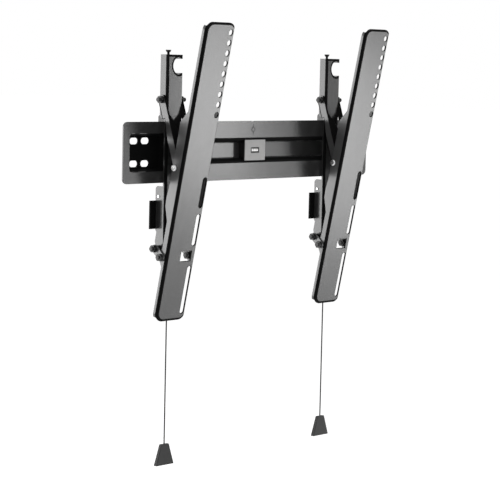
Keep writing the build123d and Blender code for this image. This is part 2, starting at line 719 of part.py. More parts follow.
# Latch: a plate that slides inside the post and catches behind the bottom rim
latch_tab_z = latch_bottom + latch_sheet
with BuildPart() as latch:
    with BuildSketch(Plane.XZ.offset(-carriage_front)):
        with Locations((post_middle_x, (latch_top + latch_bottom) / 2)):
            Rectangle(latch_width, latch_top - latch_bottom)
    extrude(amount=-latch_sheet)
    # Two fingers that run under the rim and up behind it
    for finger_x in (post_middle_x - latch_width / 2, post_middle_x + latch_width / 2 - latch_finger_width):
        with BuildSketch(side_plane(finger_x)):
            with BuildLine():
                Polyline((carriage_front, latch_top), (slot_rear, latch_top), (slot_rear, latch_finger_top - 2),
                         (slot_rear + 1.2, latch_finger_top), (slot_rear + latch_arm, latch_finger_top),
                         (slot_rear + latch_arm, latch_top - latch_arm),
                         (carriage_front, latch_top - latch_arm), close=True)
            make_face()
        extrude(amount=latch_finger_width)
    # Foot of the latch, bent back under the spring; the cord hangs from it
    with BuildSketch(Plane.XY.offset(latch_bottom)):
        with Locations((post_middle_x, (carriage_front - latch_rear) / 2)):
            Rectangle(latch_width, -carriage_front - latch_rear)
    extrude(amount=latch_sheet)
latch.part.label = "latch"

with BuildPart() as latch_pin:
    with BuildSketch(side_plane(-1.2)):
        with Locations((pin_y, pin_z)):
            Circle(pin_radius)
    extrude(amount=post_width + 2.4)
latch_pin.part.label = "latch_pin"

# Tension spring from the pin down to the foot of the latch
spring_y = pin_y - pin_radius
spring_top = pin_z - pin_radius - spring_wire - 0.1
spring_bottom = latch_tab_z + spring_wire + 0.1
spring_height = spring_top - spring_bottom
with BuildPart() as latch_spring:
    with BuildLine():
        spring_path = Helix(pitch=spring_height / spring_turns, height=spring_height, radius=spring_radius,
                            center=(post_middle_x, spring_y, spring_bottom))
    with BuildSketch(Plane(origin=spring_path @ 0, z_dir=spring_path % 0)):
        Rectangle(2 * spring_wire, 2 * spring_wire)
    sweep(path=spring_path, is_frenet=True)
latch_spring.part.label = "latch_spring"

# Pull cord, straight down under its own weight and the pull's
with BuildPart() as pull_cord:
    with BuildSketch(Plane.XY.offset(latch_bottom)):
        with Locations((cord_x, cord_y)):
            Circle(cord_radius)
    extrude(amount=cord_bottom - latch_bottom)
pull_cord.part.label = "pull_cord"

with BuildPart() as cord_pull:
    with BuildSketch(Plane.XZ.offset(-cord_y - pull_thickness / 2)):
        with BuildLine():
            Polyline((cord_x - pull_top_width / 2, cord_bottom), (cord_x + pull_top_width / 2, cord_bottom),
                     (cord_x + pull_bottom_width / 2, cord_bottom - pull_height),
                     (cord_x - pull_bottom_width / 2, cord_bottom - pull_height), close=True)
        make_face()
    extrude(amount=pull_thickness)
cord_pull.part.label = "cord_pull"

side_pieces = {
    "hook_carriage": hook_carriage, "hang_post": hang_post, "level_screw": level_screw,
    "screw_clip": screw_clip, "tilt_yoke": tilt_yoke, "upper_pivot_bolts": upper_pivot_bolts,
    "upper_pivot_nuts": upper_pivot_nuts, "display_bracket": display_bracket, "middle_axle": middle_axle,
    "middle_spacers": middle_spacers, "outer_link": outer_link, "inner_link": inner_link,
    "lower_post_bolts": lower_post_bolts, "lower_post_spacers": lower_post_spacers,
    "lower_post_nuts": lower_post_nuts, "lower_bracket_bolts": lower_bracket_bolts,
    "lower_bracket_nuts": lower_bracket_nuts, "latch": latch, "latch_pin": latch_pin,
    "latch_spring": latch_spring, "pull_cord": pull_cord, "cord_pull": cord_pull,
}

# The same pieces serve on both sides, so each one is placed twice, its lengths kept face to face
for side, side_x in (("left", left_post_x), ("right", left_post_x + post_spacing)):
    for piece_name, piece in side_pieces.items():
        placed = piece.part.moved(Location((side_x, 0, 0)))
        placed.label = f"{side}_{piece_name}"
        export_step(placed, f"parts/{side}_{piece_name}.step")
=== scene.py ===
import logging
import math
from dataclasses import dataclass, field
from enum import Enum

import bmesh
import bpy
from mathutils import Matrix, Vector


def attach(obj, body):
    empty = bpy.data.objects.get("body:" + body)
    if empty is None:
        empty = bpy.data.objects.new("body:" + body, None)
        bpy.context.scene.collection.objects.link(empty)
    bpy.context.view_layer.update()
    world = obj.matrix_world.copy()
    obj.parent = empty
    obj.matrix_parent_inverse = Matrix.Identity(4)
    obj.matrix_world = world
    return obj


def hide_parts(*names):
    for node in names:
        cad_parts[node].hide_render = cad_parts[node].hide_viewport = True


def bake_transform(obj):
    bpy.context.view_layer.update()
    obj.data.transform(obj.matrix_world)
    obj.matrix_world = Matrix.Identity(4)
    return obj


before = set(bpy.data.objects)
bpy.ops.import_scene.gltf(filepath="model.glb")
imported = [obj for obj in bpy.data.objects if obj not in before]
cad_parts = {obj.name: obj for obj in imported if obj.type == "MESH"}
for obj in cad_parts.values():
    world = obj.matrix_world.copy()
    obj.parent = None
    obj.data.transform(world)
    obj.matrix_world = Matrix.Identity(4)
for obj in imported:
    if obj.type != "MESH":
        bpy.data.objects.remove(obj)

LOG = logging.getLogger("bracket_scene")
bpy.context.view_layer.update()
TILT = math.radians(11.76)
FRONT = (-0.1015, 0.1863)
DOWN_FACE = Vector((0.0, math.sin(TILT), -math.cos(TILT)))
UP = Vector((0.0, 0.0, 1.0))
PRESSED_RADIUS = 0.003
POCKET_X = 0.228
# Near-black of painted shade, and of the level's black bed and the vial's lines.
BLACK_AND_SHADE_TONE = 0.004
ROOT_SHARE = 0.86
THREADS_DRAWN = 8
SHEER = 0.00002
WELD_GAP = 2e-6
SEAM_GAP = 1e-5
FLAT_GAP = 1e-7


class Side(Enum):
    """The two alike side assemblies, each with the X of its post's left face, in metres."""

    LEFT = ("left", -0.197)
    RIGHT = ("right", 0.166)

    @property
    def label(self) -> str:
        """Start of the side's node and body names."""
        return self.value[0]

    @property
    def x(self) -> float:
        """X of the hang post's left face."""
        return self.value[1]


class Number:
    """A shader socket that carries one value and takes part in Python sums."""

    def __init__(self, kit: "NodeKit", socket: bpy.types.NodeSocket) -> None:
        """Wraps one output socket.

        Args:
            kit: the tree that the socket's node is in.
            socket: the output socket.
        """
        self.kit = kit
        self.socket = socket

    def _join(self, operation: str, first: "Number | float", second: "Number | float") -> "Number":
        """One Math node on two values.

        Args:
            operation: the Math node's operation.
            first: its first value.
            second: its second value.

        Returns:
            The node's result.
        """
        node = self.kit.node("ShaderNodeMath", {"operation": operation}, {0: first, 1: second})
        return Number(self.kit, node.outputs[0])

    def __add__(self, other: "Number | float") -> "Number":
        """Sum."""
        return self._join("ADD", self, other)

    __radd__ = __add__

    def __sub__(self, other: "Number | float") -> "Number":
        """Difference."""
        return self._join("SUBTRACT", self, other)

    def __rsub__(self, other: float) -> "Number":
        """Difference from a plain number."""
        return self._join("SUBTRACT", other, self)

    def __mul__(self, other: "Number | float") -> "Number":
        """Product."""
        return self._join("MULTIPLY", self, other)

    __rmul__ = __mul__

    def least(self, other: "Number | float") -> "Number":
        """The smaller of two values."""
        return self._join("MINIMUM", self, other)

    def most(self, other: "Number | float") -> "Number":
        """The larger of two values."""
        return self._join("MAXIMUM", self, other)

    def size(self) -> "Number":
        """The value without its sign."""
        return self._join("ABSOLUTE", self, 0.0)

    def repeat(self, step: float) -> "Number":
        """Its distance from the nearest whole multiple of a step, with its sign."""
        return self._join("FLOORED_MODULO", self + step / 2, step) - step / 2

    def away(self, other: "Number") -> "Number":
        """The distance that two offsets at right angles give."""
        return self._join("SQRT", self * self + other * other, 0.0)

    def rise(self, low: float, high: float) -> "Number":
        """A soft step.

        Args:
            low: the value at which it is still 0.
            high: the value at which it has reached 1.

        Returns:
            0 before low, 1 after high and a smooth rise between them. Low above high makes it fall.
        """
        falls = low > high
        start, end = (high, low) if falls else (low, high)
        node = self.kit.node("ShaderNodeMapRange", {"interpolation_type": "SMOOTHSTEP", "clamp": True},
                             {"Value": self, "From Min": start, "From Max": end,
                              "To Min": 1.0 if falls else 0.0, "To Max": 0.0 if falls else 1.0})
        return Number(self.kit, node.outputs["Result"])


class NodeKit:
    """A node tree with the one method that makes its nodes."""

    def __init__(self, tree: bpy.types.NodeTree) -> None:
        """Takes over a tree and empties it."""
        self.tree = tree
        self.tree.nodes.clear()

    def node(self, kind: str, settings: dict, values: dict) -> bpy.types.Node:
        """Makes a node.

        Args:
            kind: the node's type.
            settings: properties that are set first.
            values: socket name or number to a Number, a socket or a plain value.

        Returns:
            The node.
        """
        made = self.tree.nodes.new(kind)
        for key, value in settings.items():
            setattr(made, key, value)
        for key, value in values.items():
            self.feed(made.inputs[key], value)
        return made

    def feed(self, target: bpy.types.NodeSocket, value: object) -> None:
        """Gives a socket its link or its constant.

        Args:
            target: the input socket.
            value: a Number or a socket to link, or a plain value to set.
        """
        if isinstance(value, Number):
            self.tree.links.new(value.socket, target)
        elif isinstance(value, bpy.types.NodeSocket):
            self.tree.links.new(value, target)
        else:
            target.default_value = value

    def background_rays(self) -> Number:
        """1 for the rays that show the background: from the camera, and through gloss and glass."""
        rays = self.node("ShaderNodeLightPath", {}, {})
        camera = Number(self, rays.outputs["Is Camera Ray"])
        glossy = Number(self, rays.outputs["Is Glossy Ray"])
        return camera.most(glossy).most(Number(self, rays.outputs["Is Transmission Ray"]))


class Shader(NodeKit):
    """A material being built."""

    def __init__(self, name: str) -> None:
        """Starts a material with its Principled shader.

        Args:
            name: the material's name.
        """
        self.material = bpy.data.materials.new(name)
        self.material.use_nodes = True
        super().__init__(self.material.node_tree)
        self.surface = self.node("ShaderNodeBsdfPrincipled", {}, {})
        self.node("ShaderNodeOutputMaterial", {}, {"Surface": self.surface.outputs[0]})
        self.place = self.node("ShaderNodeTexCoord", {}, {}).outputs["Object"]

    def set(self, **values: object) -> None:
        """Feeds the Principled shader's sockets, named with underscores for spaces."""
        for name, value in values.items():
            self.feed(self.surface.inputs[name.replace("_", " ")], value)

    def axes(self) -> tuple[Number, Number, Number]:
        """The place on the object along X, Y and Z, in metres."""
        parts = self.node("ShaderNodeSeparateXYZ", {}, {0: self.place})
        return tuple(Number(self, parts.outputs[i]) for i in range(3))

    def noise(self, scale: float, detail: float = 3.0, stretch: tuple = (1.0, 1.0, 1.0)) -> Number:
        """Fine random variation.

        Args:
            scale: repeats in a metre.
            detail: octaves.
            stretch: how much closer it repeats along each axis.

        Returns:
            A value round 0.5.
        """
        mapped = self.node("ShaderNodeMapping", {}, {"Vector": self.place, "Scale": stretch})
        made = self.node("ShaderNodeTexNoise", {}, {"Vector": mapped.outputs[0], "Scale": scale,
                                                    "Detail": detail, "Roughness": 0.6})
        return Number(self, made.outputs[0])

    def blend(self, mask: Number, first: object, second: object) -> bpy.types.NodeSocket:
        """Mixes two colours.

        Args:
            mask: 0 for the first and 1 for the second.
            first: a colour or a colour socket.
            second: a colour or a colour socket.

        Returns:
            The mixed colour.
        """
        made = self.node("ShaderNodeMix", {"data_type": "RGBA"}, {0: mask, 6: first, 7: second})
        return made.outputs[2]

    def relief(self, height: Number, strength: float, distance: float) -> None:
        """Feeds a Bump node on the height to the surface's normal.

        Args:
            height: the relief, from 0 to 1.
            strength: how much of it shows.
            distance: its depth, in metres.
        """
        bump = self.node("ShaderNodeBump", {}, {"Height": height, "Strength": strength, "Distance": distance})
        self.set(Normal=bump.outputs[0])


def grey(value: float, warm: float = 0.0) -> tuple[float, float, float, float]:
    """A near-neutral colour.

    Args:
        value: its linear brightness.
        warm: how far red is above blue, as a share.

    Returns:
        The colour with full alpha.
    """
    return (value * (1 + warm), value, value * (1 - warm), 1.0)


def from_post(x: Number) -> Number:
    """X from the left face of the post on the same side.

    Args:
        x: X in the frame.

    Returns:
        The same measure on both sides, so that one finish serves both.
    """
    local = x - Side.LEFT.x
    return local - local.rise(0.18, 0.19) * (Side.RIGHT.x - Side.LEFT.x)


@dataclass(frozen=True)
class CoatFinish:
    """Satin powder coat on pressed steel: a dark base under a smoother skin, painted black, rougher and without
    skin where each kind paints its shade.
    """

    name: str
    slot: str
    tone: float
    skin: float = 1.0
    roughness: float = 0.42
    skin_roughness: float = 0.26
    grain: float = 0.15
    rolled: tuple[float, float, float] = (24.0, 1.0, 1.0)

    def shade_and_marks(self, shader: Shader) -> Number | None:
        """Where painted shade, and on the plate its centre mark, turn the coat black, from 0 to 1. None on a plain
        piece.
        """
        return None

    def build(self) -> bpy.types.Material:
        """Makes the material."""
        shader = Shader(self.name)
        cloud = shader.noise(22.0, 4.0)
        speck = shader.noise(1500.0, 2.0)
        base = shader.blend(cloud.rise(0.3, 0.7), grey(self.tone * 0.92), grey(self.tone * 1.08))
        base = shader.blend(speck.rise(0.60, 0.82) * 0.35, base, grey(self.tone * 1.5))
        streak = shader.noise(16.0, 3.0, self.rolled)
        rough = shader.noise(60.0, 3.0) * 0.10 + (self.roughness - 0.05)
        weight = shader.noise(35.0, 3.0) * 0.10 + streak * 0.30 + (self.skin - 0.20)
        # Painted shade, and the plate's centre mark: black base, rougher and without skin where the mask is.
        fold = self.shade_and_marks(shader)
        if fold is not None:
            base = shader.blend(fold, base, grey(BLACK_AND_SHADE_TONE))
            rough = rough + fold * 0.35
            weight = weight * (1 - fold)
        shader.set(Base_Color=base, Roughness=rough, Coat_Weight=weight.least(1.0).most(0.0),
                   Coat_Roughness=self.skin_roughness, Specular_IOR_Level=0.05)
        shader.relief(shader.noise(900.0, 2.0), self.grain, 0.0002)
        return shader.material


@dataclass(frozen=True)
class BracketFinish(CoatFinish):
    """Coat of a display bracket, with painted shade: black along the bends round its front face and on the walls
    of its openings.
    """

    side_x: float = 0.0
    left_gap: float = 0.0074
    flat_x: tuple[float, float] = (0.0052, 0.0594)
    flat_run: tuple[float, float] = (0.0038, 0.4374)
    flat_corner: float = 0.0105
    column: float = 0.053
    holes: tuple[float, float, float] = (0.014, 0.134, 0.015)
    hole_radius: float = 0.0044
    wall_edge: tuple[float, float] = (0.0006, 0.0002)
    slots: tuple[tuple[float, float], ...] = ((0.2308, 0.2677), (0.2858, 0.3247), (0.3638, 0.4277))
    window: tuple[float, float, float, float] = (0.041, 0.344, 0.01125, 0.00775)

    def shade_and_marks(self, shader: Shader) -> Number:
        """Painted shade on the rounded rim round the flat of the face, and on the walls of the holes, slots and
        window.
        """
        x, y, z = shader.axes()
        y, z = y - FRONT[0], z - FRONT[1]
        depth = y * math.cos(TILT) + z * math.sin(TILT)
        run = y * math.sin(TILT) - z * math.cos(TILT)
        across = x - (self.side_x - self.left_gap)
        out_x, out_run = ((value - (low + high) / 2).size() - ((high - low) / 2 - self.flat_corner)
                          for value, (low, high) in ((across, self.flat_x), (run, self.flat_run)))
        edge = out_x.most(0.0).away(out_run.most(0.0)) + out_x.most(out_run).least(0.0)
        # Painted shade along the rounded rim of the face.
        rim = edge.rise(self.flat_corner, self.flat_corner + 0.0008) * depth.rise(0.0040, 0.0030)
        aside = (across - self.column).size()
        first, last, pitch = self.holes
        half_row = (last - first) / 2 + pitch / 2
        off_middle = (run - (first + last) / 2).size()
        row = (run - first).repeat(pitch) * off_middle.rise(half_row, half_row - 0.0001)
        row = row + off_middle.rise(half_row - 0.0001, half_row)
        far, near = self.wall_edge
        wall = aside.away(row).rise(self.hole_radius + far, self.hole_radius + near)
        for start, end in self.slots:
            past = ((run - (start + end) / 2).size() - (end - start) / 2).most(0.0)
            wall = wall.most(aside.away(past).rise(self.hole_radius + far, self.hole_radius + near))
        middle_x, middle_run, half_x, half_run = self.window
        past = ((across - middle_x).size() - half_x).most((run - middle_run).size() - half_run)
        return rim.most(wall).most(past.rise(far, near))


@dataclass(frozen=True)
class PostFinish(CoatFinish):
    """Coat of the hang posts, with painted shade: black along the front bend, the top, round the notch and on the
    foot tab.
    """

    notch: tuple[float, float] = (0.025, 0.124)
    notch_radius: float = 0.0123
    top: float = 0.140
    fold: float = 0.0042

    def shade_and_marks(self, shader: Shader) -> Number:
        """The painted shade of both posts."""
        x, y, z = shader.axes()
        local = from_post(x)
        front = y.rise(-0.0160, -0.0168)
        # Painted shade along the front bend, the top, round the notch and on the foot tab.
        fold = local.rise(self.fold + 0.0006, self.fold) * front
        top = z.rise(self.top - 0.0036, self.top - 0.0028)
        ring = (local - self.notch[0]).away(z - self.notch[1]).rise(self.notch_radius + 0.0032,
                                                                  self.notch_radius + 0.0026)
        tab = local.rise(-0.0002, -0.0006)
        return fold.most(top * front.most(local.rise(0.0002, 0.0005))).most(ring * front).most(tab * 0.97)


@dataclass(frozen=True)
class YokeFinish(CoatFinish):
    """Coat of the tilt yokes: bright on the middle of the left strap, with painted shade along its edges and
    inside.
    """

    start: tuple[float, float] = (-0.0116, 0.0754)
    end: tuple[float, float] = (-0.0429, -0.0210)
    half_width: float = 0.007

    def shade_and_marks(self, shader: Shader) -> Number:
        """Painted shade on the strap's edges, and on all of the yoke behind its outer face."""
        x, y, z = shader.axes()
        local = from_post(x)
        long_y, long_z = self.end[0] - self.start[0], self.end[1] - self.start[1]
        reach = math.hypot(long_y, long_z)
        aside = ((y - self.start[0]) * (long_z / reach) - (z - self.start[1]) * (long_y / reach)).size()
        edge = aside.rise(self.half_width - 0.0020, self.half_width - 0.0012)
        # Painted shade: strap edges black, the inner faces darkened.
        return edge.most(local.rise(-0.0024, -0.0020) * 0.75)


@dataclass(frozen=True)
class PlateFinish(CoatFinish):
    """Coat of the wall plate: painted shade on the channel walls and in the pockets, and a generic centre mark
    above the level.
    """

    channel: tuple[float, float] = (0.0126, 0.0188)
    channel_end: float = 0.1945
    pocket_half: tuple[float, float] = (0.0420, 0.0314)
    pocket_edge: tuple[float, float] = (0.0010, 0.0014)
    mark_low: float = 0.0225
    mark_high: float = 0.0395

    def shade_and_marks(self, shader: Shader) -> Number:
        """Painted shade on the channel's sloping walls and in the pockets, and the centre mark."""
        x, y, z = shader.axes()
        aside, level = x.size(), z.size()
        low, high = self.channel
        # Painted shade on the sloping channel walls.
        walls = level.rise(low - 0.0008, low) * level.rise(high + 0.0004, high - 0.0002) \
            * aside.rise(self.channel_end, self.channel_end - 0.002)
        half_x, half_z = self.pocket_half
        out, back = self.pocket_edge
        # Painted shade in the pockets.
        pocket = (aside - POCKET_X).size().rise(half_x + out, half_x - back) \
            * level.rise(half_z + out, half_z - back) * y.rise(-0.0142, -0.0116)
        middle, half = (self.mark_low + self.mark_high) / 2, (self.mark_high - self.mark_low) / 2
        rise = (z - middle).size()
        ring = (aside + rise - half * 0.5).size().rise(0.0011, 0.0006)
        stem = aside.rise(0.0008, 0.0004) * rise.rise(half * 0.45, half * 0.55) * rise.rise(half, half * 0.9)
        mark = (ring + stem) * y.rise(-0.0120, -0.0125) * 0.85
        return (walls + pocket + mark).least(1.0)


@dataclass(frozen=True)
class SteelFinish:
    """Bare or plated steel, with fine turning marks."""

    name: str
    slot: str
    tone: float
    roughness: float = 0.28

    def build(self) -> bpy.types.Material:
        """Makes the material."""
        shader = Shader(self.name)
        marks = shader.noise(700.0, 2.0, (6.0, 1.0, 1.0))
        shader.set(Base_Color=shader.blend(marks, grey(self.tone * 0.85), grey(self.tone * 1.1)), Metallic=1.0,
                   Roughness=marks * 0.15 + (self.roughness - 0.07))
        shader.relief(marks, 0.15, 0.0001)
        return shader.material


@dataclass(frozen=True)
class BlackedFinish:
    """Blacked steel of screws, bolts and nuts: a thin oiled oxide, worn a little at random."""

    name: str
    slot: str
    tone: float
    roughness: float = 0.36

    def build(self) -> bpy.types.Material:
        """Makes the material."""
        shader = Shader(self.name)
        cloud = shader.noise(240.0, 3.0)
        worn = shader.noise(900.0, 3.0).rise(0.66, 0.80)
        oxide = shader.blend(cloud, grey(self.tone * 0.7), grey(self.tone * 1.4))
        shader.set(Base_Color=shader.blend(worn * 0.5, oxide, grey(0.06)),
                   Roughness=cloud * 0.16 + (self.roughness - 0.08), Specular_IOR_Level=0.3)
        shader.relief(cloud, 0.2, 0.0001)
        return shader.material


@dataclass(frozen=True)
class MouldedFinish:
    """Moulded plastic with a fine spark-eroded grain."""

    name: str
    slot: str
    tone: float
    warm: float = 0.0
    roughness: float = 0.5
    skin: float = 0.0
    shine: float = 0.5

    def dark(self, shader: Shader) -> Number | None:
        """Where the plastic is painted black, as its own colour or as painted shade, from 0 to 1. None where it is
        all one colour.
        """
        return None

    def build(self) -> bpy.types.Material:
        """Makes the material."""
        shader = Shader(self.name)
        grain = shader.noise(1800.0, 2.0)
        cloud = shader.noise(70.0, 3.0)
        base = shader.blend(cloud, grey(self.tone * 0.9, self.warm), grey(self.tone * 1.1, self.warm))
        weight = cloud * 0.1 + (self.skin - 0.05)
        dark = self.dark(shader)
        if dark is not None:
            # Black of the plastic itself, and painted shade where the kind paints it.
            base = shader.blend(dark, base, grey(BLACK_AND_SHADE_TONE))
            weight = weight * (1 - dark)
        shader.set(Base_Color=base, Roughness=grain * 0.12 + (self.roughness - 0.06),
                   Coat_Weight=weight.least(1.0).most(0.0), Coat_Roughness=0.32, Specular_IOR_Level=self.shine)
        shader.relief(grain, 0.3, 0.0001)
        return shader.material


@dataclass(frozen=True)
class LevelFinish(MouldedFinish):
    """Plastic of the level block, black in the bed round its vial, with painted shade down its sides."""

    bed: tuple[float, float, float] = (0.005, 0.0094, 0.0044)
    front: float = -0.0132

    def dark(self, shader: Shader) -> Number:
        """The bed and a narrow edge round it, and painted shade on all that is sunk behind the front."""
        x, y, z = shader.axes()
        middle, half_x, half_z = self.bed
        bed = (x - middle).size().rise(half_x + 0.0003, half_x - 0.0003) * z.size().rise(
            half_z + 0.0003, half_z - 0.0003)
        # The black bed, and painted shade on the sides behind the front.
        return bed.most(y.rise(self.front, self.front + 0.0008))


@dataclass(frozen=True)
class VialFinish(MouldedFinish):
    """The vial: pale fluid between two black lines, with dark upper and lower edges."""

    middle: float = 0.005
    line: float = 0.0030
    half: float = 0.0020

    def dark(self, shader: Shader) -> Number:
        """The two lines and the edges."""
        x, _, z = shader.axes()
        lines = ((x - self.middle).size() - self.line).size().rise(0.00035, 0.0002)
        return lines.most(z.size().rise(self.half, self.half + 0.0004))


@dataclass(frozen=True)
class BraidFinish:
    """Thin braided cord: a diagonal weave round the run."""

    name: str
    slot: str
    tone: float

    def build(self) -> bpy.types.Material:
        """Makes the material."""
        shader = Shader(self.name)
        wave = {"wave_type": "BANDS", "bands_direction": "DIAGONAL"}
        made = shader.node("ShaderNodeTexWave", wave, {"Vector": shader.place, "Scale": 420.0, "Distortion": 1.2})
        weave = Number(shader, made.outputs[1])
        shader.set(Base_Color=shader.blend(weave, grey(self.tone * 0.5), grey(self.tone * 1.5)),
                   Roughness=weave * 0.1 + 0.65, Specular_IOR_Level=0.25)
        shader.relief(weave, 0.5, 0.0002)
        return shader.material


def deselect() -> None:
    """Leaves nothing selected."""
    if bpy.context.object and bpy.context.object.mode != "OBJECT":
        bpy.ops.object.mode_set(mode="OBJECT")
    bpy.ops.object.select_all(action="DESELECT")


def pick(piece: bpy.types.Object) -> None:
    """Selects one piece alone and makes it active."""
    deselect()
    bpy.context.view_layer.objects.active = piece
    piece.select_set(True)


def settle(piece: bpy.types.Object) -> None:
    """Puts a piece's place into its mesh and leaves its object at the origin."""
    pick(piece)
    bpy.ops.object.transform_apply(location=True, rotation=True, scale=True)
    bpy.ops.object.select_all(action="DESELECT")


def copied(node: str, ending: str) -> bpy.types.Object:
    """A new object with a copy of a CAD node's mesh.

    Args:
        node: the CAD node's name.
        ending: what its own name adds to the node's.

    Returns:
        The object, in the scene.
    """
    piece = bpy.data.objects.new(f"{node}_{ending}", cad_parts[node].data.copy())
    bpy.context.scene.collection.objects.link(piece)
    return piece


def rounded(piece: bpy.types.Object, width: float, angle: float, segments: int = 2, smooth: float = 38.0) -> None:
    """Gives a piece small radii on its sharp edges, and even shading on its flats.

    Args:
        piece: the piece.
        width: the radii, in metres.
        angle: the least turn between faces that is rounded, in degrees.
        segments: facets of a radius.
        smooth: the turn, in degrees, up to which shading runs on.
    """
    pick(piece)
    bevel = piece.modifiers.new("radii", "BEVEL")
    bevel.width = width
    bevel.segments = segments
    bevel.limit_method = "ANGLE"
    bevel.angle_limit = math.radians(angle)
    bpy.ops.object.modifier_apply(modifier="radii")
    bpy.ops.object.shade_smooth_by_angle(angle=math.radians(smooth))
    even = piece.modifiers.new("even", "WEIGHTED_NORMAL")
    even.keep_sharp = True
    bpy.ops.object.modifier_apply(modifier="even")
    bpy.ops.object.select_all(action="DESELECT")


def softened(node: str, body: str, width: float, seams: tuple = (), pressed: tuple = (),
             angle: float = 28.0) -> bpy.types.Object:
    """A copy of a CAD node with small radii on its sharp edges, which stands for the node.

    Args:
        node: the CAD node's name.
        body: the body that it rides on.
        width: the radii, in metres.
        seams: (point, normal) of each plane where two lengths of the sheet meet, which are joined.
        pressed: (lowest corner, highest corner) of boxes whose own edges get the larger radius of a pressing.
        angle: the least turn between faces that is rounded, in degrees.

    Returns:
        The piece.
    """
    piece = copied(node, "soft")
    pick(piece)
    bpy.ops.object.mode_set(mode="EDIT")
    bpy.ops.mesh.select_all(action="SELECT")
    bpy.ops.mesh.remove_doubles(threshold=WELD_GAP)
    for point, normal in seams:
        mesh = bmesh.from_edit_mesh(piece.data)
        for face in mesh.faces:
            face.select_set(abs(face.normal.dot(normal)) > 0.99
                            and all(abs((v.co - point).dot(normal)) < SEAM_GAP for v in face.verts))
        bmesh.update_edit_mesh(piece.data)
        bpy.ops.mesh.delete(type="ONLY_FACE")
    bpy.ops.mesh.select_all(action="SELECT")
    bpy.ops.mesh.dissolve_limited(angle_limit=math.radians(0.5))
    for low, high in pressed:
        bpy.ops.mesh.select_mode(type="EDGE")
        bpy.ops.mesh.select_all(action="DESELECT")
        mesh = bmesh.from_edit_mesh(piece.data)
        for edge in mesh.edges:
            edge.select_set(edge.is_manifold and edge.calc_face_angle() > math.radians(30)
                            and all(low[k] < v.co[k] < high[k] for v in edge.verts for k in range(3)))
        bmesh.update_edit_mesh(piece.data)
        bpy.ops.mesh.bevel(offset=PRESSED_RADIUS, segments=5, affect="EDGES", clamp_overlap=True)
    bpy.ops.object.mode_set(mode="OBJECT")
    rounded(piece, width, angle)
    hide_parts(node)
    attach(piece, body)
    return piece


def select_level(piece: bpy.types.Object, height: float) -> None:
    """In edit mode, selects the faces that lie wholly at a height.

    Args:
        piece: the piece, in edit mode.
        height: Z of the faces in its mesh.
    """
    bpy.ops.mesh.select_mode(type="FACE")
    bpy.ops.mesh.select_all(action="DESELECT")
    mesh = bmesh.from_edit_mesh(piece.data)
    for face in mesh.faces:
        face.select_set(all(abs(v.co.z - height) < FLAT_GAP for v in face.verts))
    bmesh.update_edit_mesh(piece.data)


def turned(name: str, start: tuple[float, float, float], axis: str, profile: list[tuple[float, float]],
           sides: int = 24) -> bpy.types.Object:
    """A turned piece, from a short cylinder whose end is extruded along the profile.

    Args:
        name: the piece's name.
        start: the point on its axis that the profile is measured from.
        axis: "+X", "-X" or "+Z", the way the profile runs.
        profile: (distance along the axis, radius), in metres, from one end to the other.
        sides: facets round it.

    Returns:
        The piece, with its place in its mesh.
    """
    deselect()
    (first, radius), (second, end_radius) = profile[0], profile[1]
    bpy.ops.mesh.primitive_cylinder_add(vertices=sides, radius=radius, depth=second - first,
                                        location=(0, 0, (first + second) / 2))
    piece = bpy.context.object
    piece.name = name
    bpy.ops.object.transform_apply(location=True, rotation=True, scale=True)
    bpy.ops.object.mode_set(mode="EDIT")
    select_level(piece, second)
    bpy.ops.transform.resize(value=(end_radius / radius, end_radius / radius, 1.0), center_override=(0, 0, second))
    for (low, before), (high, after) in zip(profile[1:], profile[2:]):
        bpy.ops.mesh.extrude_region_move(TRANSFORM_OT_translate={"value": (0, 0, high - low)})
        bpy.ops.transform.resize(value=(after / before, after / before, 1.0), center_override=(0, 0, high))
    bpy.ops.object.mode_set(mode="OBJECT")
    turn = {"+X": Matrix.Rotation(math.pi / 2, 4, "Y"), "-X": Matrix.Rotation(-math.pi / 2, 4, "Y"),
            "+Z": Matrix.Identity(4)}[axis]
    piece.matrix_world = Matrix.Translation(Vector(start)) @ turn
    settle(piece)
    pick(piece)
    bpy.ops.object.shade_smooth_by_angle(angle=math.radians(32))
    bpy.ops.object.select_all(action="DESELECT")
    return piece


@dataclass
class Wardrobe:
    """Every finish of the object, with its material made once."""

    finishes: dict
    materials: dict = field(default_factory=dict)

    def dress(self, piece: bpy.types.Object, key: str) -> None:
        """Gives a piece one finish.

        Args:
            piece: the piece or the CAD node's object.
            key: the finish's short name.
        """
        finish = self.finishes[key]
        if key not in self.materials:
            self.materials[key] = finish.build()
        piece.data.materials.clear()
        piece.data.materials.append(self.materials[key])


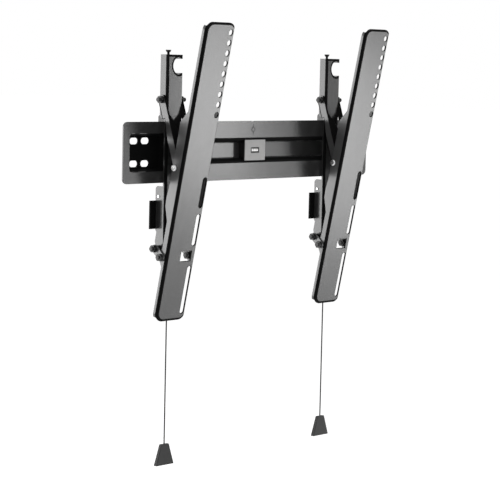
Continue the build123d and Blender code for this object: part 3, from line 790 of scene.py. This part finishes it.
@dataclass
class Studio:
    """Camera, floor, lamps and world."""

    place: tuple[float, float, float] = (-2.34969, -2.03882, 0.1276)
    yaw: float = 49.23
    pitch: float = -5.14
    roll: float = 1.3
    focal_px: float = 2056.46
    image_px: float = 500.0
    floor_z: float = -0.62
    fill: float = 0.45

    def camera(self) -> None:
        """Sets the camera at the photograph's viewpoint."""
        yaw, pitch, roll = (math.radians(v) for v in (self.yaw, self.pitch, self.roll))
        ahead = Vector((math.sin(yaw) * math.cos(pitch), math.cos(yaw) * math.cos(pitch), math.sin(pitch)))
        level = Vector((math.cos(yaw), -math.sin(yaw), 0.0))
        upright = level.cross(ahead)
        right = level * math.cos(roll) + upright * math.sin(roll)
        up = upright * math.cos(roll) - level * math.sin(roll)
        data = bpy.data.cameras.new("camera")
        data.sensor_width = 36.0
        data.lens = self.focal_px / self.image_px * data.sensor_width
        data.clip_start, data.clip_end = 0.05, 100.0
        camera = bpy.data.objects.new("camera", data)
        bpy.context.scene.collection.objects.link(camera)
        camera.matrix_world = Matrix.Translation(Vector(self.place)) @ Matrix(
            (right, up, -ahead)).transposed().to_4x4()
        bpy.context.scene.camera = camera

    def panel(self, name: str, place: tuple[float, float, float], size: tuple[float, float], glow: float) -> None:
        """A soft box that faces the object.

        Args:
            name: the lamp's name.
            place: its centre.
            size: its width and height, in metres.
            glow: its radiance.
        """
        data = bpy.data.lights.new(name, "AREA")
        data.shape = "RECTANGLE"
        data.size, data.size_y = size
        data.energy = glow * math.pi * size[0] * size[1]
        lamp = bpy.data.objects.new(name, data)
        bpy.context.scene.collection.objects.link(lamp)
        lamp.location = place
        lamp.rotation_euler = (Vector((0, -0.04, -0.03)) - Vector(place)).to_track_quat("-Z", "Y").to_euler()

    def floor(self) -> None:
        """The pale floor, white to the camera where nothing shades it."""
        deselect()
        bpy.ops.mesh.primitive_plane_add(size=60.0, location=(0, 0, self.floor_z))
        floor = bpy.context.object
        floor.name = "floor"
        settle(floor)
        paper = Shader("floor_paper")
        lift = paper.blend(paper.background_rays(), grey(0.0), grey(0.62))
        paper.set(Base_Color=grey(0.9), Roughness=0.95, Specular_IOR_Level=0.0, Emission_Color=lift,
                  Emission_Strength=1.0)
        floor.data.materials.append(paper.material)

    def world(self) -> None:
        """An even pale surround, white where it is seen."""
        world = bpy.data.worlds.new("studio")
        bpy.context.scene.world = world
        world.use_nodes = True
        kit = NodeKit(world.node_tree)
        strength = kit.background_rays() * (1 - self.fill) + self.fill
        sky = kit.node("ShaderNodeBackground", {}, {"Color": (1, 1, 1, 1), "Strength": strength})
        kit.node("ShaderNodeOutputWorld", {}, {"Surface": sky.outputs[0]})

    def build(self) -> None:
        """Makes the camera, the floor, the lamps and the world."""
        self.camera()
        self.floor()
        self.panel("face_panel", (1.16, -1.12, -0.57), (0.80, 0.72), 7.0)
        self.panel("plate_panel", (1.28, -1.24, 0.01), (0.14, 0.34), 9.5)
        self.panel("flank_panel", (-1.34, 1.12, 0.0), (0.9, 1.2), 6.0)
        self.panel("top_panel", (-0.5, -0.9, 1.6), (1.6, 1.2), 0.8)
        self.world()
        bpy.context.scene.view_settings.view_transform = "Standard"


@dataclass
class PullCord:
    """A pull cord that hangs from the latch, and the grip on its end."""

    side: Side
    wardrobe: Wardrobe
    local_x: float = 0.023
    y: float = -0.005
    top: float = -0.100
    bottom: float = -0.428
    diameter: float = 0.002
    grip_height: float = 0.031
    grip_top: float = 0.016
    grip_bottom: float = 0.037
    grip_thick: float = 0.007

    @property
    def x(self) -> float:
        """X of the cord."""
        return self.side.x + self.local_x

    def line(self) -> bpy.types.Object:
        """The cord, a NURBS curve straight down."""
        curve = bpy.data.curves.new(f"{self.side.label}_cord_line", "CURVE")
        curve.dimensions = "3D"
        curve.bevel_depth = self.diameter / 2
        curve.bevel_resolution = 4
        curve.use_fill_caps = True
        run = curve.splines.new("NURBS")
        heights = [self.top + (self.bottom - self.top) * t for t in (0.0, 0.25, 0.5, 0.75, 1.0)]
        run.points.add(len(heights) - 1)
        for point, height in zip(run.points, heights):
            point.co = (self.x, self.y, height, 1.0)
        run.order_u = 3
        run.use_endpoint_u = True
        piece = bpy.data.objects.new(f"{self.side.label}_cord", curve)
        bpy.context.scene.collection.objects.link(piece)
        return piece

    def grip(self) -> bpy.types.Object:
        """The moulded grip: a tapered block with sunk faces and rounded edges."""
        deselect()
        bpy.ops.mesh.primitive_cube_add(size=1.0)
        piece = bpy.context.object
        piece.name = f"{self.side.label}_grip"
        bpy.ops.object.mode_set(mode="EDIT")
        mesh = bmesh.from_edit_mesh(piece.data)
        for vert in mesh.verts:
            up = vert.co.z > 0
            width = self.grip_top if up else self.grip_bottom
            thick = self.grip_thick / 2 * (0.80 if up else 1.0)
            vert.co = (math.copysign(width / 2, vert.co.x), math.copysign(thick, vert.co.y),
                       0.0 if up else -self.grip_height)
        bpy.ops.mesh.select_mode(type="FACE")
        bpy.ops.mesh.select_all(action="DESELECT")
        mesh = bmesh.from_edit_mesh(piece.data)
        mesh.normal_update()
        for face in mesh.faces:
            face.select_set(abs(face.normal.y) > 0.9)
        bmesh.update_edit_mesh(piece.data)
        bpy.ops.mesh.inset(thickness=0.0022, depth=-0.0006, use_individual=True)
        bpy.ops.object.mode_set(mode="OBJECT")
        piece.location = (self.x, self.y, self.bottom)
        settle(piece)
        rounded(piece, 0.0011, 25.0, 3)
        return piece

    def build(self) -> None:
        line, grip = self.line(), self.grip()
        self.wardrobe.dress(line, "braid")
        self.wardrobe.dress(grip, "grip")
        release = f"{self.side.label}_release"
        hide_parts(f"{self.side.label}_pull_cord")
        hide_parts(f"{self.side.label}_cord_pull")
        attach(line, release)
        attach(grip, release)
        self.x
        self.top - self.bottom
        LOG.info("%s cord and grip", self.side.label)


@dataclass
class Fasteners:
    """Bolts and nuts on one pivot of one side: two of each, all lengths in metres from the post's left face."""

    side: Side
    wardrobe: Wardrobe
    name: str
    body: str
    pivot: tuple[float, float]
    bolts: tuple[tuple[float, str, float], ...]
    nuts: tuple[float, float]
    flats: float = 0.010
    nut_height: float = 0.005
    radius: float = 0.003
    head_radius: float = 0.0046
    head_height: float = 0.0024
    pitch: float = 0.001

    def nut(self, number: int, x: float) -> bpy.types.Object:
        """A nut with chamfered corners.

        Args:
            number: its number, for its name.
            x: X of its low face.

        Returns:
            The nut.
        """
        deselect()
        bpy.ops.mesh.primitive_cylinder_add(vertices=6, radius=self.flats / math.sqrt(3), depth=self.nut_height)
        piece = bpy.context.object
        piece.name = f"{self.side.label}_{self.name}_nut_{number}"
        bpy.ops.object.mode_set(mode="EDIT")
        bpy.ops.mesh.select_all(action="SELECT")
        bpy.ops.mesh.bevel(offset=0.0007, affect="VERTICES")
        bpy.ops.object.mode_set(mode="OBJECT")
        piece.rotation_euler = (0, math.pi / 2, 0)
        piece.location = (self.side.x + x + self.nut_height / 2, *self.pivot)
        settle(piece)
        rounded(piece, 0.00025, 25.0)
        return piece

    def bolt(self, number: int, start: float, outward: str, length: float) -> bpy.types.Object:
        """A bolt from its pan head to its threaded end.

        Args:
            number: its number, for its name.
            start: X of its head's end.
            outward: "+X" or "-X".
            length: its whole length.

        Returns:
            The bolt.
        """
        root = self.radius * ROOT_SHARE
        profile = [(0.0, self.head_radius * 0.72), (self.head_height * 0.4, self.head_radius),
                   (self.head_height - SHEER, self.head_radius), (self.head_height, self.radius),
                   (length - THREADS_DRAWN * self.pitch, self.radius)]
        for turn in range(THREADS_DRAWN):
            low = length - (THREADS_DRAWN - turn) * self.pitch
            profile += [(low + self.pitch * 0.30, root), (low + self.pitch * 0.45, root),
                        (low + self.pitch * 0.85, self.radius)]
        profile.append((length, self.radius * 0.74))
        return turned(f"{self.side.label}_{self.name}_bolt_{number}", (self.side.x + start, *self.pivot), outward,
                      profile)

    def build(self) -> None:
        """Makes the bolts and nuts in place of the plain ones."""
        nuts = [self.nut(k, x) for k, x in enumerate(self.nuts)]
        bolts = [self.bolt(k, *values) for k, values in enumerate(self.bolts)]
        for piece in nuts + bolts:
            self.wardrobe.dress(piece, "black")
            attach(piece, f"{self.side.label}_{self.body}")
        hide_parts(f"{self.side.label}_{self.name}_nuts")
        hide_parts(f"{self.side.label}_{self.name}_bolts")
        LOG.info("%s %s bolts and nuts", self.side.label, self.name)


@dataclass
class LevelScrew:
    """The levelling screw: a threaded shank, its collar, and a dish-shaped head with a slot."""

    side: Side
    wardrobe: Wardrobe
    x: float = 0.011
    y: float = -0.0102
    foot: float = 0.1017
    collar: tuple[float, float] = (0.1061, 0.1071)
    head: float = 0.1435
    radius: float = 0.0020
    collar_radius: float = 0.0036
    head_radius: float = 0.0039
    head_height: float = 0.0032
    pitch: float = 0.0007
    lead: float = 0.0006
    slot_size: tuple[float, float, float] = (0.0095, 0.0011, 0.0026)

    def build(self) -> None:
        """Makes the screw in place of the plain one."""
        low, high = (v - self.foot for v in self.collar)
        head = self.head - self.foot
        root = self.radius * ROOT_SHARE
        profile = [(0.0, self.radius * 0.7), (self.lead, self.radius), (low - SHEER, self.radius),
                   (low, self.collar_radius), (high, self.collar_radius), (high + SHEER, root)]
        level = high + self.lead
        while level < head - 0.0008:
            profile += [(level + self.pitch * 0.4, self.radius), (level + self.pitch * 0.9, root)]
            level += self.pitch
        profile += [(head, self.head_radius * 0.72), (head + self.head_height * 0.6, self.head_radius),
                    (head + self.head_height - 0.0002, self.head_radius),
                    (head + self.head_height, self.head_radius * 0.95)]
        piece = turned(f"{self.side.label}_level_screw_turned", (self.side.x + self.x, self.y, self.foot), "+Z",
                       profile)
        deselect()
        top = self.head + self.head_height
        bpy.ops.mesh.primitive_cube_add(size=1.0, location=(self.side.x + self.x, self.y, top),
                                        scale=self.slot_size)
        cutter = bpy.context.object
        cut = piece.modifiers.new("slot", "BOOLEAN")
        cut.operation, cut.object, cut.solver = "DIFFERENCE", cutter, "EXACT"
        pick(piece)
        bpy.ops.object.modifier_apply(modifier="slot")
        bpy.data.objects.remove(cutter)
        self.wardrobe.dress(piece, "black")
        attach(piece, f"{self.side.label}_screw")
        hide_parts(f"{self.side.label}_level_screw")
        LOG.info("%s levelling screw", self.side.label)


@dataclass
class SideAssembly:
    """All that one side carries: post, carriage, screw, yoke, bracket, links, release and their fasteners."""

    side: Side
    wardrobe: Wardrobe
    sheets: dict[str, tuple[str, float, str]] = field(default_factory=lambda: {
        "hook_carriage": ("carriage", 0.0003, "carriage"), "hang_post": ("post", 0.0005, "post"),
        "tilt_yoke": ("yoke", 0.0005, "yoke"), "outer_link": ("links", 0.0004, "link"),
        "inner_link": ("links", 0.0004, "link"), "latch": ("release", 0.0003, "carriage"),
        "display_bracket": ("bracket", 0.0004, "bracket")})
    plain: dict[str, str] = field(default_factory=lambda: {
        "screw_clip": "steel", "middle_axle": "steel", "latch_pin": "steel",
        "middle_spacers": "black", "lower_post_spacers": "black"})
    post_seam: float = 0.048
    bracket_seams: tuple[float, float] = (0.294, 0.338836)

    def node(self, name: str) -> str:
        """A node's or a body's full name on this side."""
        return f"{self.side.label}_{name}"

    def dress_sheets(self) -> None:
        """Softens and dresses the folded sheets."""
        seams = {"hang_post": tuple((UP * height, UP) for height in (self.post_seam, -self.post_seam)),
                 "display_bracket": tuple((Vector((0.0, *FRONT)) + DOWN_FACE * run, DOWN_FACE)
                                          for run in self.bracket_seams)}
        for name, (body, radius, finish) in self.sheets.items():
            piece = softened(self.node(name), self.node(body), radius, seams.get(name, ()))
            self.wardrobe.dress(piece, self.node("bracket") if finish == "bracket" else finish)
            LOG.info("%s", piece.name)

    def dress_plain(self) -> None:
        """Gives the small turned and stamped nodes their finishes."""
        for name, finish in self.plain.items():
            self.wardrobe.dress(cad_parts[self.node(name)], finish)

    def latch_spring(self) -> None:
        """Makes the latch spring: a dressed copy of the node in its place, with its place baked into its mesh."""
        node = self.node("latch_spring")
        piece = copied(node, "coil")
        self.wardrobe.dress(piece, "spring")
        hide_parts(node)
        places = [vert.co for vert in piece.data.vertices]
        low, high = (Vector(extreme(place[axis] for place in places) for axis in range(3))
                     for extreme in (min, max))
        middle = (low + high) / 2
        self.node("post")
        self.node("release")
        middle.x
        middle.x
        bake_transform(piece)

    def fasteners(self) -> None:
        """Makes the bolts and nuts of the three pivots."""
        Fasteners(self.side, self.wardrobe, name="upper_pivot", body="post", pivot=(-0.0116, 0.0754),
                  bolts=((0.0046, "-X", 0.0159), (0.0274, "+X", 0.0184)), nuts=(-0.0078, 0.0348)).build()
        Fasteners(self.side, self.wardrobe, name="lower_post", body="post", pivot=(-0.0096, -0.1388),
                  bolts=((0.0046, "-X", 0.0227), (0.0274, "+X", 0.0306)), nuts=(-0.0151, 0.0510)).build()
        Fasteners(self.side, self.wardrobe, name="lower_bracket", body="bracket", pivot=(-0.0220, -0.1504),
                  bolts=((-0.0028, "-X", 0.0143), (0.0558, "-X", 0.0143)), nuts=(-0.0151, 0.0435)).build()

    def build(self) -> None:
        """Makes the whole side."""
        PullCord(self.side, self.wardrobe).build()
        self.dress_plain()
        self.dress_sheets()
        self.latch_spring()
        self.fasteners()
        LevelScrew(self.side, self.wardrobe).build()
        LOG.info("%s side done", self.side.label)


@dataclass
class WallPlate:
    """The pressed plate and the level in its channel."""

    wardrobe: Wardrobe
    seam: float = 0.031
    pocket_half: tuple[float, float] = (0.0402, 0.0298)
    face_y: tuple[float, float] = (-0.0141, -0.0139)

    def mouths(self) -> tuple:
        """A flat box at each pocket's mouth, round the edges where the sheet goes in."""
        half_x, half_z = self.pocket_half
        front, back = self.face_y
        return tuple(((x - half_x, front, -half_z), (x + half_x, back, half_z)) for x in (-POCKET_X, POCKET_X))

    def build(self) -> None:
        """Makes the plate, the level block and the vial."""
        seams = tuple((UP * height, UP) for height in (self.seam, -self.seam))
        plate = softened("wall_plate", "wall", 0.0005, seams, self.mouths())
        self.wardrobe.dress(plate, "plate")
        self.wardrobe.dress(softened("level_block", "wall", 0.0005), "level")
        self.wardrobe.dress(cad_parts["level_vial"], "vial")
        LOG.info("wall plate and level")


def wardrobe() -> Wardrobe:
    """Every finish of the object, by its short name."""
    return Wardrobe({
        "plate": PlateFinish("plate_coat", "plate_metal", 0.030, skin_roughness=0.18, rolled=(1.0, 1.0, 24.0)),
        "carriage": CoatFinish("carriage_coat", "post_metal", 0.030, skin=0.6),
        "post": PostFinish("post_coat", "post_metal", 0.030, skin_roughness=0.20),
        "left_bracket": BracketFinish("left_bracket_coat", "bracket_metal", 0.070, side_x=Side.LEFT.x),
        "right_bracket": BracketFinish("right_bracket_coat", "bracket_metal", 0.070, side_x=Side.RIGHT.x),
        "yoke": YokeFinish("yoke_coat", "yoke_metal", 0.06),
        "link": CoatFinish("link_coat", "link_metal", 0.080),
        "black": BlackedFinish("black_hardware_oxide", "black_hardware", 0.010),
        "steel": SteelFinish("bright_rivet_steel", "bright_steel", 0.75),
        "spring": SteelFinish("spring_wire", "spring_steel", 0.5, roughness=0.35),
        "level": LevelFinish("level_block_plastic", "level_plastic", 0.16, warm=0.02, roughness=0.42, skin=0.8),
        "vial": VialFinish("vial_fluid", "vial", 0.85, warm=0.01, roughness=0.15, skin=1.0),
        "grip": MouldedFinish("grip_plastic", "pull_plastic", 0.035, shine=0.15),
        "braid": BraidFinish("cord_braid", "cord", 0.02),
    })


def main() -> None:
    """Builds the scene in order."""
    logging.basicConfig(level=logging.INFO, format="%(message)s")
    Studio().build()
    clothes = wardrobe()
    WallPlate(clothes).build()
    for side in Side:
        SideAssembly(side, clothes).build()
    deselect()
    LOG.info("boxes written")


if __name__ == "__main__":
    main()
